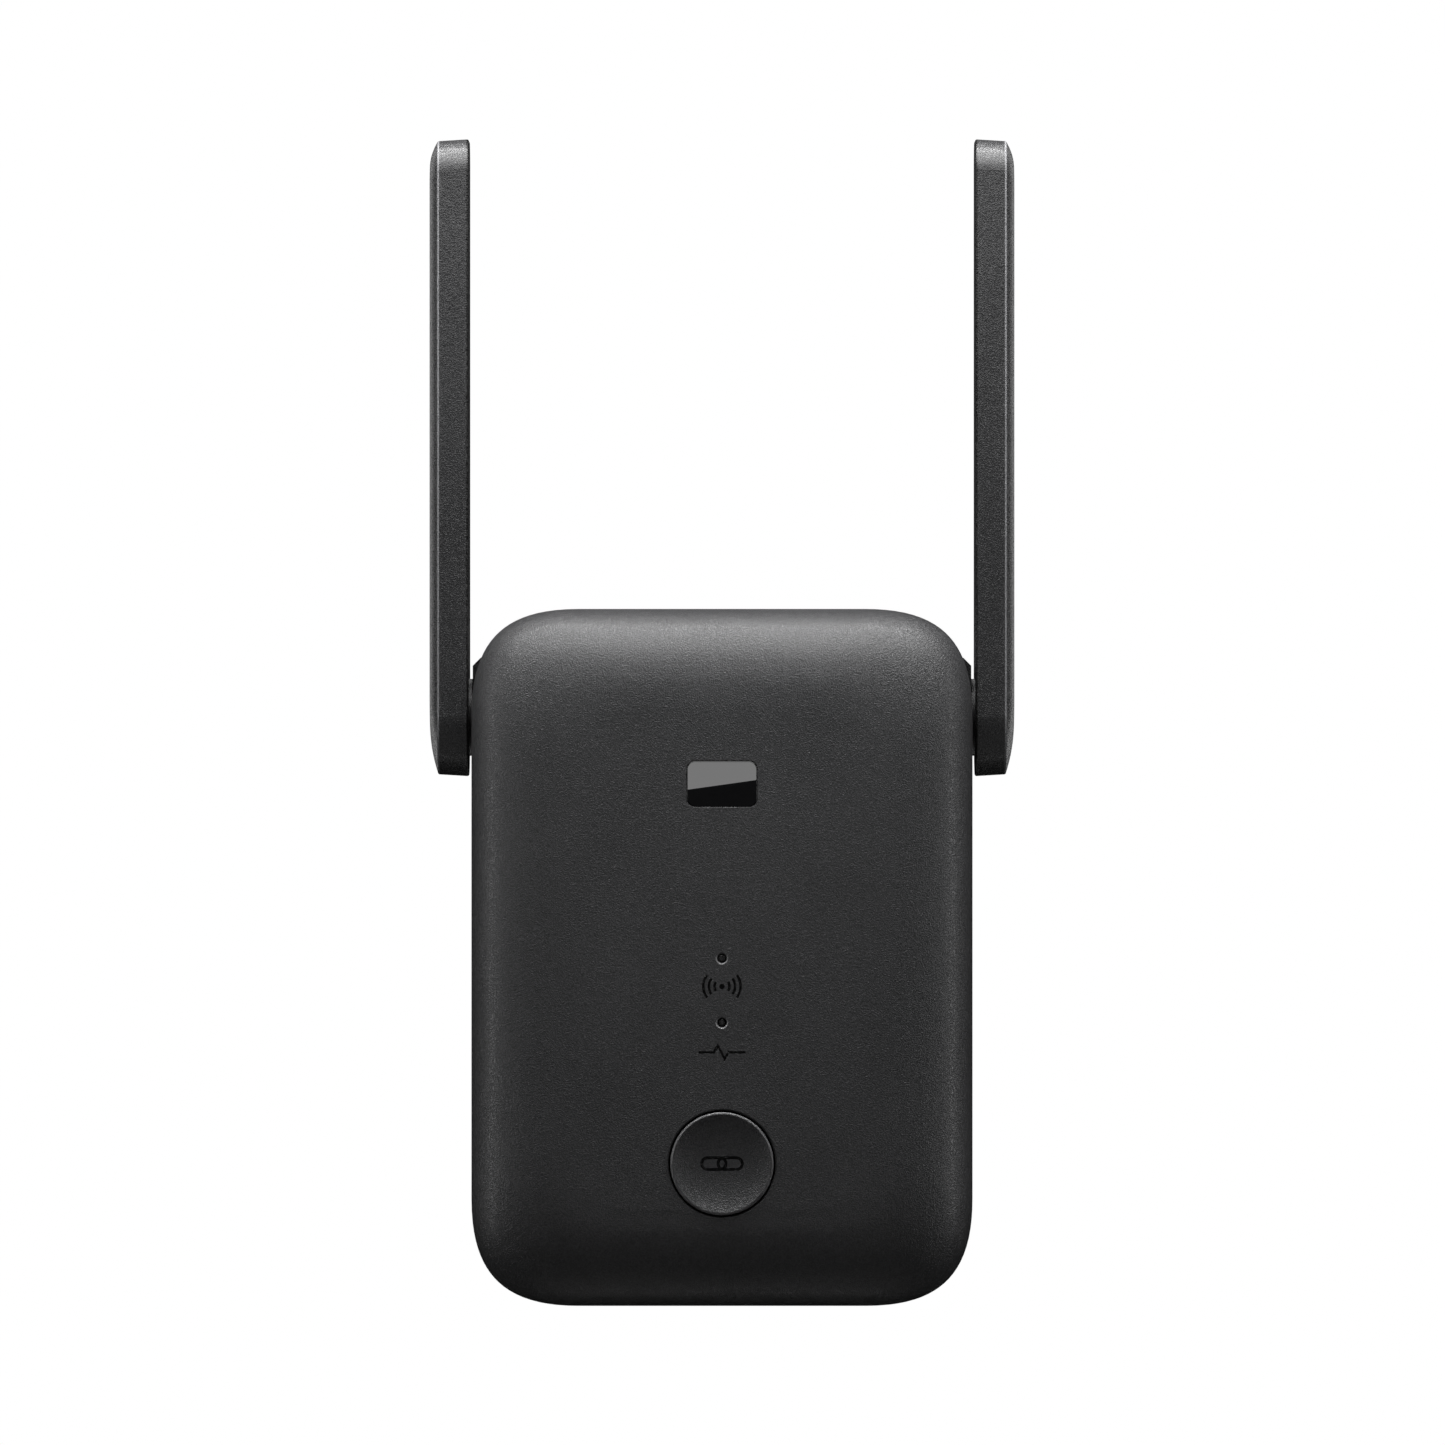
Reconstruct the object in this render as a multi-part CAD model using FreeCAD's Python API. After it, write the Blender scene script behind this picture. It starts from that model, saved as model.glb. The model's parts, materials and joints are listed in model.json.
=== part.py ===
import FreeCAD, Part
import math
import os

# Wifi range extender that plugs straight into a wall socket, in millimetres.
# Origin: middle of the plug's engagement face, between the two pins.
# +Y points into the wall, -Y is the front, +Z is up, +X is to the right seen from the front.

# case
BODY_W = 77.0
BODY_H = 107.1
BODY_Z = -8.0
FRONT_Y = -51.0
PART_Y = -37.0
REAR_Y = -17.0
WALL = 2.0
CORNER = 16.4
CORNER_PULL = 0.70
REAR_EDGE_R = 4.0
# the front edge bends over on a squashed curve: this far inwards, this far back
BEND_IN = 15.0
BEND_DEEP = 9.5
BEND_POWER = 0.92
BEND_STEPS = 10
# how much of its run a corner gives up for each millimetre the outline shrinks
CORNER_SHRINK = 0.35
REAR_INSET = 0.3
TONGUE_INSET = 2.1
TONGUE_T = 1.0
TONGUE_DEPTH = 1.5

# vents
VENT_W = 1.6
VENT_PITCH = 4.2
REAR_VENTS = 11
REAR_VENT_L = 10.0
REAR_VENT_X = 27.5
REAR_VENT_Z = BODY_Z - 24.0
TOP_VENTS = 9
TOP_VENT_Y0 = -32.0
TOP_VENT_Y1 = -22.5

# plug
PIN_R = 2.0
PIN_X = 9.3
PIN_OUT = 19.0
PIN_CORE_R = 1.5
SLEEVE_R = 1.75
SLEEVE_OUT = 10.0
NECK_W = 35.3
NECK_H = 13.7
NECK_RIDGE = 1.6
NECK_EDGE_R = 0.6
FLANGE_T = 2.0
FLANGE_OUT = 1.8
PIN_TIP_R = 1.4
PIN_REAR_Y = -22.0
CUP_R = 2.8
CUP_MOUTH_Y = -21.1

# label on the back
LABEL_W = 32.0
LABEL_H = 18.0
LABEL_R = 1.5
LABEL_T = 0.12
LABEL_Z = BODY_Z - 31.0

# how far a rib or post reaches into the wall it stands on
ROOT = 0.5

# front face
BADGE_W = 10.8
BADGE_H = 7.0
BADGE_T = 1.2
BADGE_R = 1.3
BADGE_Z = BODY_Z + 26.7
SIGNAL_Z = BODY_Z
SYSTEM_Z = BODY_Z - 9.85
LED_HOLE_R = 0.74
LED_CHAMFER_R = 0.93
LIGHT_PIPE_R = 0.5
LIGHT_PIPE_BODY_R = 1.4
LIGHT_PIPE_STEP_Y = -48.6
LED_T = 0.7
BUTTON_Z = BODY_Z - 31.45
BUTTON_R = 7.9
BUTTON_HOLE_R = 8.2
BUTTON_LIP = 0.2
BUTTON_RIM_Y = -51.25
BUTTON_DISH = 1.0
BUTTON_DISH_R = BUTTON_R - 0.4
BUTTON_DISH_FLAT = 0.65
BUTTON_EDGE_R = 0.3
BUTTON_FLANGE_R = 9.2
BUTTON_FLANGE_Y = -48.3
BUTTON_FLANGE_T = 1.1
BUTTON_HOLLOW_R = 6.4
BUTTON_STEM_R = 2.0
GUIDE_R = 9.6
GUIDE_T = 1.4
GUIDE_DEPTH = 3.5
SWITCH_HALF = 3.0
SWITCH_TOP_Y = -40.1
SWITCH_TOUCH_Y = -41.3
SWITCH_HOLE_R = 1.75
PLUNGER_R = 1.68
PLUNGER_END_Y = -39.4

# antennas and their hinges
HINGE_Y = -26.8
HINGE_Z = BODY_Z + 36.9
PADDLE_IN = 39.05
PADDLE_OUT = 45.12
PADDLE_BEVEL = 1.3
PADDLE_HALF_W = 9.1
PADDLE_TOP = 89.2
PADDLE_DRAFT = 0.28
PADDLE_TOP_R = 4.7
PADDLE_EDGE_R = 0.3
BEVEL_STEPS = 4
BEVEL_SIDE = 4.3
BEVEL_TOP = 4.1
BEVEL_BOTTOM = 7.9
PADDLE_WALL = 1.5
PADDLE_SKIN = 0.6
CAVITY_FROM = 8.5
COVER_T = 1.1
EAR_ROOT_X = 26.0
EAR_X = 38.45
EAR_TOP = HINGE_Z + 9.2
EAR_BOTTOM = HINGE_Z - 9.5
EAR_HALF_Y = 6.6
EAR_CHAMFER = 1.25
HINGE_BOSS_R = 6.4
HINGE_BOSS_IN = 33.0
SHAFT_R = 2.95
SHAFT_BORE_R = 3.0
SHAFT_HOLLOW_R = 1.3
SHAFT_IN = 31.0
DISC_R = 5.95
DISC_IN = 38.53
DISC_OUT = 39.6
HUB_OUT = 40.6
HUB_R = 4.0
CLIP_IN = 31.6
CLIP_OUT = 32.3
CLIP_GROOVE_R = 2.4
COAX_R = 0.57
COAX_SPLIT = 33.0
COAX_GROOVE = 2.4
ANTENNA_COAX_UP = 17.0
ANTENNA_COAX_BEND = 1.7
LEAD_BEND = 3.3
RADIATOR_IN = 41.2
RADIATOR_OUT = 41.8
RADIATOR_HALF_W = 5.5
RADIATOR_FROM = 11.0
RADIATOR_TO = 82.0

# boards, all parallel to the front face
MAIN_FRONT = -36.6
MAIN_REAR = -35.0
MAIN_INSET = 3.6
POWER_FRONT = -24.0
POWER_REAR = -22.4
POWER_HALF_W = 18.5
POWER_BOTTOM = -35.5
POWER_TOP = 41.0
HEADER_Z = -33.1
HEADER_PITCH = 3.0
HEADER_PIN_R = 0.32
CAN_R = 4.0
CORE_W = 14.0
CORE_TALL = 9.2
CORE_H = 12.0
CORE_Z = 15.0
CORE_LEG = 4.0
YOKE_T = 1.8
PROCESSOR_W = 13.0
PROCESSOR_T = 1.3
PROCESSOR_Z = 10.0
PAD_T = 0.8
SPREADER_W = 42.0
SPREADER_H = 38.0
SPREADER_T = 1.2
SPREADER_Z = 15.0
SPREADER_LEG_W = 3.0
SPREADER_LEG_Z = (14.0, 17.0)
FIN_H = 1.5
FIN_T = 1.0
FIN_Z = (1.5, 7.5, 13.5, 19.5, 25.5)
SHIELD_W = 19.0
SHIELD_H = 16.0
SHIELD_T = 2.2
SHIELD_X = 21.5
SHIELD_Z = -16.0
CONNECTOR_W = 3.2
COAX_X = 24.0
COAX_Y = -33.7
COAX_END_Z = 19.6

# fasteners
TOP_SCREW = (27.0, BODY_Z + 44.0)
LOW_SCREW = (29.5, BODY_Z - 43.0)
CASE_SCREW_AT = [(side * x, z) for x, z in (TOP_SCREW, LOW_SCREW) for side in (-1, 1)]
BOARD_SCREW_AT = [(side * 22.0, BODY_Z - 20.0) for side in (-1, 1)]
STAKE_AT = [(side * 16.0, z) for z in (38.0, -33.0) for side in (-1, 1)]
SEAT_Y = -29.0
POST_END_Y = -31.0
POST_R = 3.0
SHOULDER_R = 4.2
SCREW_R = 1.2
SCREW_TIP_Y = -41.0
SCREW_HEAD_R = 2.6
SCREW_HEAD_T = 1.7
SCREW_SLOT_W = 0.6
SCREW_SLOT_L = 3.2
SCREW_WELL_R = 3.0
TUBE_R = 3.8
BOARD_SCREW_R = 0.8
BOARD_SCREW_TIP_Y = -42.0
BOARD_SCREW_HEAD_R = 1.8
BOARD_SCREW_HEAD_T = 1.1
BOARD_POST_R = 2.6
STAKE_R = 1.2
STAKE_HEAD_R = 2.0
STAKE_HEAD_T = 0.8
STAKE_BASE_R = 2.4

# ethernet socket, opening downwards
JACK_W = 16.0
JACK_FRONT = MAIN_REAR
JACK_REAR = JACK_FRONT + 13.3
JACK_BOTTOM = -61.0
JACK_TOP = -40.0
JACK_SKIN = 0.3
JACK_LIP = 0.2
PORT_W = 12.0
PORT_Y0 = -33.4
PORT_Y1 = -24.8
PORT_DEPTH = 15.5
LATCH_W = 6.2
LATCH_Y1 = -22.9
CONTACT_PITCH = 1.02
CONTACT_W = 0.4
CONTACT_RISE = 1.8

# reset switch above its pinhole
RESET_X = 22.0
RESET_Y = -33.0
PINHOLE_R = 0.9
RESET_Z0 = -56.5
RESET_Z1 = -53.0
RESET_TIP_Z = -57.8
RESET_PLUNGER_R = 1.0
RESET_PLUNGER_END_Z = -54.0

SIDES = {"left": -1, "right": 1}


def vec(x, y, z):
    return FreeCAD.Vector(x, y, z)


def block(x0, x1, y0, y1, z0, z1):
    return Part.makeBox(x1 - x0, y1 - y0, z1 - z0, vec(x0, y0, z0))


def rod_y(r, x, z, y0, y1):
    return Part.makeCylinder(r, y1 - y0, vec(x, y0, z), vec(0, 1, 0))


def rod_z(r, x, y, z0, z1):
    return Part.makeCylinder(r, z1 - z0, vec(x, y, z0), vec(0, 0, 1))


def rod_x(r, side, x0, x1, y=HINGE_Y, z=HINGE_Z):
    # x0 and x1 are distances from the middle plane, towards the given side
    return Part.makeCylinder(r, x1 - x0, vec(side * x0, y, z), vec(side, 0, 0))


def across(side, near, far):
    # the x range between two distances from the middle plane, on the given side
    return sorted((side * near, side * far))


def cone_y(r0, r1, x, z, y0, y1):
    return Part.makeCone(r0, r1, y1 - y0, vec(x, y0, z), vec(0, 1, 0))


def join(shapes):
    return shapes[0].multiFuse(shapes[1:]).removeSplitter()


def group(solids):
    return Part.makeCompound(solids)


def prism(points, y0, y1):
    # straight-sided prism along Y from (x, z) points
    wire = Part.makePolygon([vec(x, y0, z) for x, z in points + points[:1]])
    return Part.Face(wire).extrude(vec(0, y1 - y0, 0))


def round_long_edges(solid, r):
    # rounds the edges that run along Y
    long_edges = [e for e in solid.Edges if abs(e.tangentAt(e.FirstParameter).y) > 0.9]
    return solid.makeFillet(r, long_edges)


def rounded_block_y(half_w, half_h, r, z, y0, y1, x=0.0):
    return round_long_edges(block(x - half_w, x + half_w, y0, y1, z - half_h, z + half_h), r)


def corner_arc(start, end, middle_of):
    # quarter circle from start to end about middle_of
    r = (start - middle_of).Length
    outward = (start + end - middle_of * 2).normalize()
    return Part.Arc(start, middle_of + outward * r, end).toShape()


def chain(points):
    return [Part.makeLine(a, b) for a, b in zip(points, points[1:])]


def end_face(solid, axis, sign):
    # the face that lies furthest along one axis
    return max(solid.Faces, key=lambda f: sign * getattr(f.CenterOfMass, axis))


def case_outline(inset, y):
    # four sides joined by corners whose bend eases in and out
    half_w = BODY_W / 2 - inset
    half_h = BODY_H / 2 - inset
    run = CORNER - inset * CORNER_SHRINK
    pull = run * CORNER_PULL
    edges = []
    last = None
    first = None
    for sx, sz, along_x in ((1, 1, False), (-1, 1, True), (-1, -1, False), (1, -1, True)):
        on_side = vec(sx * half_w, y, BODY_Z + sz * (half_h - run))
        side_handle = on_side + vec(0, 0, sz * pull)
        on_end = vec(sx * (half_w - run), y, BODY_Z + sz * half_h)
        end_handle = on_end + vec(sx * pull, 0, 0)
        poles = [on_side, side_handle, end_handle, on_end]
        if along_x:
            poles.reverse()
        if last is not None:
            edges.append(Part.makeLine(last, poles[0]))
        else:
            first = poles[0]
        curve = Part.BezierCurve()
        curve.setPoles(poles)
        edges.append(curve.toShape())
        last = poles[-1]
    edges.append(Part.makeLine(last, first))
    return Part.Wire(edges)


def case_block(inset, y0, y1):
    return Part.Face(case_outline(inset, y0)).extrude(vec(0, y1 - y0, 0))


def soft_front_block(inset, y_front, y_back):
    # case-shaped block whose front edge bends over in one long soft curve
    sections = []
    for i in range(BEND_STEPS + 1):
        turn = math.pi / 2 * i / BEND_STEPS
        inward = BEND_IN * (1 - math.cos(turn) ** BEND_POWER)
        depth = BEND_DEEP * (1 - math.sin(turn) ** BEND_POWER)
        sections.append(case_outline(inset + inward, y_front + depth))
    skirt = Part.Face(case_outline(inset, y_front + BEND_DEEP))
    skirt = skirt.extrude(vec(0, y_back - y_front - BEND_DEEP, 0))
    return Part.makeLoft(sections, True, False).fuse(skirt)


def pad_block(inset, y_front, y_rear, edge_r):
    # case-shaped block with its rear edge rounded
    solid = case_block(inset, y_front, y_rear)
    return solid.makeFillet(edge_r, end_face(solid, "y", 1).Edges)


def coax_path(points, bend):
    # round wire through the points with every corner turned on an arc
    edges = []
    start = points[0]
    for here, after in zip(points[1:-1], points[2:]):
        inward = (here - start).normalize()
        outward = (after - here).normalize()
        arc_in = here - inward * bend
        arc_out = here + outward * bend
        middle = here + (outward - inward) * bend * (1 - math.sqrt(0.5))
        edges.append(Part.makeLine(start, arc_in))
        edges.append(Part.Arc(arc_in, middle, arc_out).toShape())
        start = arc_out
    edges.append(Part.makeLine(start, points[-1]))
    spine = Part.Wire(edges)
    heading = (points[1] - points[0]).normalize()
    ring = Part.Wire(Part.makeCircle(COAX_R, points[0], heading))
    return spine.makePipeShell([ring], True, True)


# ---- case ----

def front_cover():
    outer = soft_front_block(0.0, FRONT_Y, PART_Y)
    inner = FRONT_Y + WALL
    shell = outer.cut(soft_front_block(WALL, inner, PART_Y + 1))
    adds = [rod_y(GUIDE_R + GUIDE_T, 0, BUTTON_Z, inner - ROOT, inner + GUIDE_DEPTH)]
    cuts = [
        rod_y(GUIDE_R, 0, BUTTON_Z, inner + 0.6, inner + GUIDE_DEPTH + 1),
        rod_y(BUTTON_HOLE_R, 0, BUTTON_Z, FRONT_Y - 1, inner + 1),
        bevelled_lip(BUTTON_HOLE_R, BUTTON_LIP, BUTTON_Z),
        badge_block(0.05),
    ]
    for z in (SIGNAL_Z, SYSTEM_Z):
        adds.append(rod_y(LIGHT_PIPE_BODY_R + 1.0, 0, z, inner - ROOT, inner + 3))
        cuts.append(rod_y(LIGHT_PIPE_BODY_R + 0.05, 0, z, inner + 0.1, inner + 4))
        cuts.append(rod_y(LED_HOLE_R, 0, z, FRONT_Y - 1, inner + 1))
        cuts.append(bevelled_lip(LED_HOLE_R, LED_CHAMFER_R - LED_HOLE_R, z))
    for x, z in CASE_SCREW_AT:
        adds.append(rod_y(SHOULDER_R, x, z, inner - ROOT, MAIN_FRONT).common(outer))
        adds.append(rod_y(POST_R, x, z, MAIN_FRONT - 1, POST_END_Y))
        cuts.append(rod_y(SCREW_R + 0.02, x, z, SCREW_TIP_Y - 1, POST_END_Y + 1))
    for x, z in BOARD_SCREW_AT:
        adds.append(rod_y(BOARD_POST_R, x, z, inner - ROOT, MAIN_FRONT))
        cuts.append(rod_y(BOARD_SCREW_R + 0.02, x, z, BOARD_SCREW_TIP_Y - 1, MAIN_FRONT + 1))
    return join([shell] + adds).cut(cuts)


def bevelled_lip(r, width, z):
    # cone that bevels the front rim of a hole of radius r
    over = 0.1
    return cone_y(r + width + over, r, 0, z, FRONT_Y - over, FRONT_Y + width)


def badge_block(gap):
    half_w = BADGE_W / 2 + gap
    half_h = BADGE_H / 2 + gap
    return rounded_block_y(half_w, half_h, BADGE_R, BADGE_Z, FRONT_Y - 1, FRONT_Y + BADGE_T)


def badge_plate():
    plate = rounded_block_y(BADGE_W / 2, BADGE_H / 2, BADGE_R, BADGE_Z, FRONT_Y, FRONT_Y + BADGE_T)
    return plate.makeFillet(0.15, end_face(plate, "y", -1).Edges)


def hinge_ear(side):
    x0, x1 = across(side, EAR_ROOT_X, EAR_X)
    solid = block(x0, x1, HINGE_Y - EAR_HALF_Y, HINGE_Y + EAR_HALF_Y, EAR_BOTTOM, EAR_TOP)
    return solid.makeChamfer(EAR_CHAMFER, end_face(solid, "x", side).Edges)


def rear_housing():
    inner_y = REAR_Y - WALL
    shell = pad_block(REAR_INSET, PART_Y, REAR_Y, REAR_EDGE_R)
    ears = [hinge_ear(s) for s in SIDES.values()]
    cavity = pad_block(REAR_INSET + WALL, PART_Y - 1, inner_y, REAR_EDGE_R - WALL)
    shell = join([shell] + ears).cut(cavity)
    tongue_y = PART_Y - TONGUE_DEPTH
    tongue = case_block(TONGUE_INSET, tongue_y, tongue_y + 3.0)
    tongue = tongue.cut(case_block(TONGUE_INSET + TONGUE_T, tongue_y - 1, tongue_y + 4.0))
    adds = [tongue]
    cuts = []
    for side in SIDES.values():
        adds.append(rod_x(HINGE_BOSS_R, side, HINGE_BOSS_IN, EAR_X - 0.5))
        cuts.append(rod_x(SHAFT_BORE_R, side, HINGE_BOSS_IN - 1, EAR_X + 1))
    for x, z in CASE_SCREW_AT:
        adds.append(rod_y(TUBE_R, x, z, POST_END_Y, inner_y + ROOT))
        cuts.append(rod_y(SCREW_WELL_R, x, z, SEAT_Y, REAR_Y + 1))
        cuts.append(rod_y(SCREW_R + 0.2, x, z, POST_END_Y - 1, SEAT_Y + 1))
    for x, z in STAKE_AT:
        head_y = POWER_FRONT - STAKE_HEAD_T
        adds.append(rod_y(STAKE_BASE_R, x, z, POWER_REAR, inner_y + ROOT))
        adds.append(rod_y(STAKE_R, x, z, head_y, POWER_REAR + ROOT))
        adds.append(rod_y(STAKE_HEAD_R, x, z, head_y, POWER_FRONT))
    floor_z = BODY_Z - BODY_H / 2
    cuts.append(plug_outline(0.1, inner_y - 1, REAR_Y + 1))
    cuts.append(jack_block(-0.25, floor_z - 1, floor_z + 5))
    cuts.append(rod_z(PINHOLE_R, RESET_X, RESET_Y, floor_z - 1, floor_z + 4))
    cuts += vents()
    return join([shell] + adds).cut(cuts)


def vents():
    half = VENT_W / 2
    top_z = BODY_Z + BODY_H / 2
    slots = []
    for side in SIDES.values():
        for i in range(REAR_VENTS):
            z = REAR_VENT_Z + VENT_PITCH * i
            slot = rounded_block_y(REAR_VENT_L / 2, half, half - 0.05, z, REAR_Y - WALL - 1, REAR_Y + 1)
            slots.append(slot.translated(vec(side * REAR_VENT_X, 0, 0)))
    for i in range(TOP_VENTS):
        x = VENT_PITCH * (i - (TOP_VENTS - 1) / 2)
        slots.append(block(x - half, x + half, TOP_VENT_Y0, TOP_VENT_Y1, top_z - 4, top_z + 1))
    return slots


def rear_label():
    return rounded_block_y(LABEL_W / 2, LABEL_H / 2, LABEL_R, LABEL_Z, REAR_Y, REAR_Y + LABEL_T)


# ---- plug ----

def plug_outline(gap, y0, y1):
    # long block whose two narrow sides come to a blunt ridge
    w = NECK_W / 2 + gap
    h = NECK_H / 2 + gap
    shoulder = w - h * 0.62
    upper = [(w, NECK_RIDGE), (shoulder, h), (-shoulder, h), (-w, NECK_RIDGE)]
    lower = [(-x, -z) for x, z in upper]
    return round_long_edges(prism(upper + lower, y0, y1), 1.5)


def plug_neck():
    seat_y = REAR_Y - WALL
    root_y = seat_y - FLANGE_T
    neck = plug_outline(0.0, root_y, 0.0)
    neck = neck.makeFillet(NECK_EDGE_R, end_face(neck, "y", 1).Edges)
    flange = rounded_block_y(NECK_W / 2 + FLANGE_OUT, NECK_H / 2 + FLANGE_OUT, 2.5, 0.0, root_y, seat_y)
    holes = [rod_y(PIN_R + 0.03, x, 0, root_y - 1, 1) for x in (-PIN_X, PIN_X)]
    return join([neck, flange]).cut(holes)


def plug_pins():
    pins = []
    for x in (-PIN_X, PIN_X):
        tip = rod_y(PIN_R, x, 0, SLEEVE_OUT, PIN_OUT)
        tip = tip.makeFillet(PIN_TIP_R, end_face(tip, "y", 1).Edges)
        core = rod_y(PIN_CORE_R, x, 0, -1.5, SLEEVE_OUT + 1)
        root = rod_y(PIN_R, x, 0, PIN_REAR_Y, -1.0)
        pins.append(join([tip, core, root]))
    return group(pins)


def pin_sleeves():
    sleeves = []
    for x in (-PIN_X, PIN_X):
        outer = rod_y(SLEEVE_R, x, 0, -1.0, SLEEVE_OUT)
        sleeves.append(outer.cut(rod_y(PIN_CORE_R, x, 0, -2, SLEEVE_OUT + 1)))
    return group(sleeves)


def mains_contacts():
    cups = []
    for x in (-PIN_X, PIN_X):
        cup = rod_y(CUP_R, x, 0, POWER_REAR, CUP_MOUTH_Y)
        cups.append(cup.cut(rod_y(PIN_R, x, 0, PIN_REAR_Y, CUP_MOUTH_Y + 1)))
    return group(cups)


# ---- button, switches and lights ----

def button_cap():
    # half section, distance from the button's middle against y, turned about that middle
    rim = BUTTON_RIM_Y
    bottom = vec(0, rim + BUTTON_DISH, 0)
    rim_in = vec(BUTTON_DISH_R, rim, 0)
    dish = Part.BezierCurve()
    dish.setPoles([bottom, vec(BUTTON_DISH_R * BUTTON_DISH_FLAT, rim + BUTTON_DISH, 0), rim_in])
    rim_out = vec(BUTTON_R - BUTTON_EDGE_R, rim, 0)
    wall = vec(BUTTON_R, rim + BUTTON_EDGE_R, 0)
    edge_middle = vec(BUTTON_R - BUTTON_EDGE_R, rim + BUTTON_EDGE_R, 0)
    low = BUTTON_FLANGE_Y + BUTTON_FLANGE_T
    below = [(BUTTON_R, BUTTON_FLANGE_Y), (BUTTON_FLANGE_R, BUTTON_FLANGE_Y), (BUTTON_FLANGE_R, low)]
    below += [(BUTTON_HOLLOW_R, low), (BUTTON_HOLLOW_R, BUTTON_FLANGE_Y), (BUTTON_STEM_R, BUTTON_FLANGE_Y)]
    below += [(BUTTON_STEM_R, SWITCH_TOUCH_Y), (0, SWITCH_TOUCH_Y)]
    outline = [dish.toShape(), Part.makeLine(rim_in, rim_out), corner_arc(rim_out, wall, edge_middle)]
    outline += chain([wall] + [vec(r, y, 0) for r, y in below] + [bottom])
    cap = Part.Face(Part.Wire(outline)).revolve(vec(0, 0, 0), vec(0, 1, 0), 360)
    return cap.translated(vec(0, 0, BUTTON_Z))


def button_switch_base():
    half = SWITCH_HALF
    base = block(-half, half, SWITCH_TOP_Y, MAIN_FRONT, BUTTON_Z - half, BUTTON_Z + half)
    return base.cut(rod_y(SWITCH_HOLE_R, 0, BUTTON_Z, SWITCH_TOP_Y - 1, PLUNGER_END_Y + 0.9))


def button_switch_plunger():
    return rod_y(PLUNGER_R, 0, BUTTON_Z, SWITCH_TOUCH_Y, PLUNGER_END_Y)


def reset_switch_base():
    half = SWITCH_HALF
    base = block(RESET_X - half, RESET_X + half, MAIN_REAR, MAIN_REAR + 4.0, RESET_Z0, RESET_Z1)
    return base.cut(rod_z(RESET_PLUNGER_R + 0.07, RESET_X, RESET_Y, RESET_Z0 - 1, RESET_PLUNGER_END_Z + 0.6))


def reset_switch_plunger():
    plunger = rod_z(RESET_PLUNGER_R, RESET_X, RESET_Y, RESET_TIP_Z, RESET_PLUNGER_END_Z)
    return plunger.makeFillet(0.25, end_face(plunger, "z", -1).Edges)


def light_pipe(z):
    tip = rod_y(LIGHT_PIPE_R, 0, z, FRONT_Y + 0.2, LIGHT_PIPE_STEP_Y + ROOT)
    tip = tip.makeFillet(0.15, end_face(tip, "y", -1).Edges)
    body = rod_y(LIGHT_PIPE_BODY_R, 0, z, LIGHT_PIPE_STEP_Y, MAIN_FRONT - LED_T - 0.3)
    return join([tip, body])


def led_chips():
    return group([on_main_front(width=1.6, tall=LED_T, height=0.8, x=0.0, z=z) for z in (SIGNAL_Z, SYSTEM_Z)])


# ---- main board ----

def on_main_front(width, tall, height, x, z):
    # block-shaped chip standing on the main board's front
    return block(x - width / 2, x + width / 2, MAIN_FRONT - tall, MAIN_FRONT, z - height / 2, z + height / 2)


def on_power(width, tall, height, x, z):
    # block-shaped component standing on the power board's front
    part = on_main_front(width, tall, height, x, z)
    return part.translated(vec(0, POWER_FRONT - MAIN_FRONT, 0))


def main_board():
    board = case_block(MAIN_INSET, MAIN_FRONT, MAIN_REAR)
    holes = [rod_y(POST_R + 0.3, x, z, MAIN_FRONT - 1, MAIN_REAR + 1) for x, z in CASE_SCREW_AT]
    holes += [rod_y(BOARD_SCREW_R + 0.15, x, z, MAIN_FRONT - 1, MAIN_REAR + 1) for x, z in BOARD_SCREW_AT]
    return board.cut(holes)


def main_processor():
    return on_main_front(PROCESSOR_W, PROCESSOR_T, PROCESSOR_W, 0.0, PROCESSOR_Z)


def thermal_pad():
    side = PROCESSOR_W - 1.0
    return on_main_front(side, PAD_T, side, 0.0, PROCESSOR_Z).translated(vec(0, -PROCESSOR_T, 0))


def heat_spreader():
    back = MAIN_FRONT - PROCESSOR_T - PAD_T
    front = back - SPREADER_T
    half_w = SPREADER_W / 2
    plate = rounded_block_y(half_w, SPREADER_H / 2, 2.0, SPREADER_Z, front, back)
    leg_x = half_w - 2.0
    leg_half = SPREADER_LEG_W / 2
    legs = [block(x - leg_half, x + leg_half, front, MAIN_FRONT, *SPREADER_LEG_Z) for x in (-leg_x, leg_x)]
    fins = [block(-leg_x, leg_x, front - FIN_H, front + 0.1, z, z + FIN_T) for z in FIN_Z]
    return join([plate] + legs + fins)


def radio_shields():
    skin = 0.3
    cans = []
    for side in SIDES.values():
        x = side * SHIELD_X
        can = rounded_block_y(SHIELD_W / 2, SHIELD_H / 2, 1.0, SHIELD_Z, MAIN_FRONT - SHIELD_T, MAIN_FRONT, x)
        inside = on_main_front(SHIELD_W - 2 * skin, SHIELD_T - skin, SHIELD_H - 2 * skin, x, SHIELD_Z)
        cans.append(can.cut(inside))
    return group(cans)


def memory_chips():
    return group([on_main_front(width=8.0, tall=1.0, height=6.0, x=x, z=-50.0) for x in (-14.0, 14.0)])


def crystal_can():
    can = on_main_front(width=3.2, tall=0.8, height=2.5, x=11.0, z=PROCESSOR_Z)
    return round_long_edges(can, 0.3)


def lan_transformer():
    part = on_main_front(width=9.5, tall=4.0, height=7.0, x=-19.75, z=-50.0)
    return part.translated(vec(0, MAIN_REAR + 4.0 - MAIN_FRONT, 0))


def coax_connectors():
    half = CONNECTOR_W / 2
    z = COAX_END_Z - half
    ends = [side * COAX_X for side in SIDES.values()]
    return group([rounded_block_y(half, half, 0.6, z, MAIN_REAR, MAIN_REAR + 2.5, x) for x in ends])


# ---- ethernet socket ----

def jack_block(inset, z0, z1):
    half_w = JACK_W / 2 - inset
    return block(-half_w, half_w, JACK_FRONT + inset, JACK_REAR - inset, z0, z1)


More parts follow.
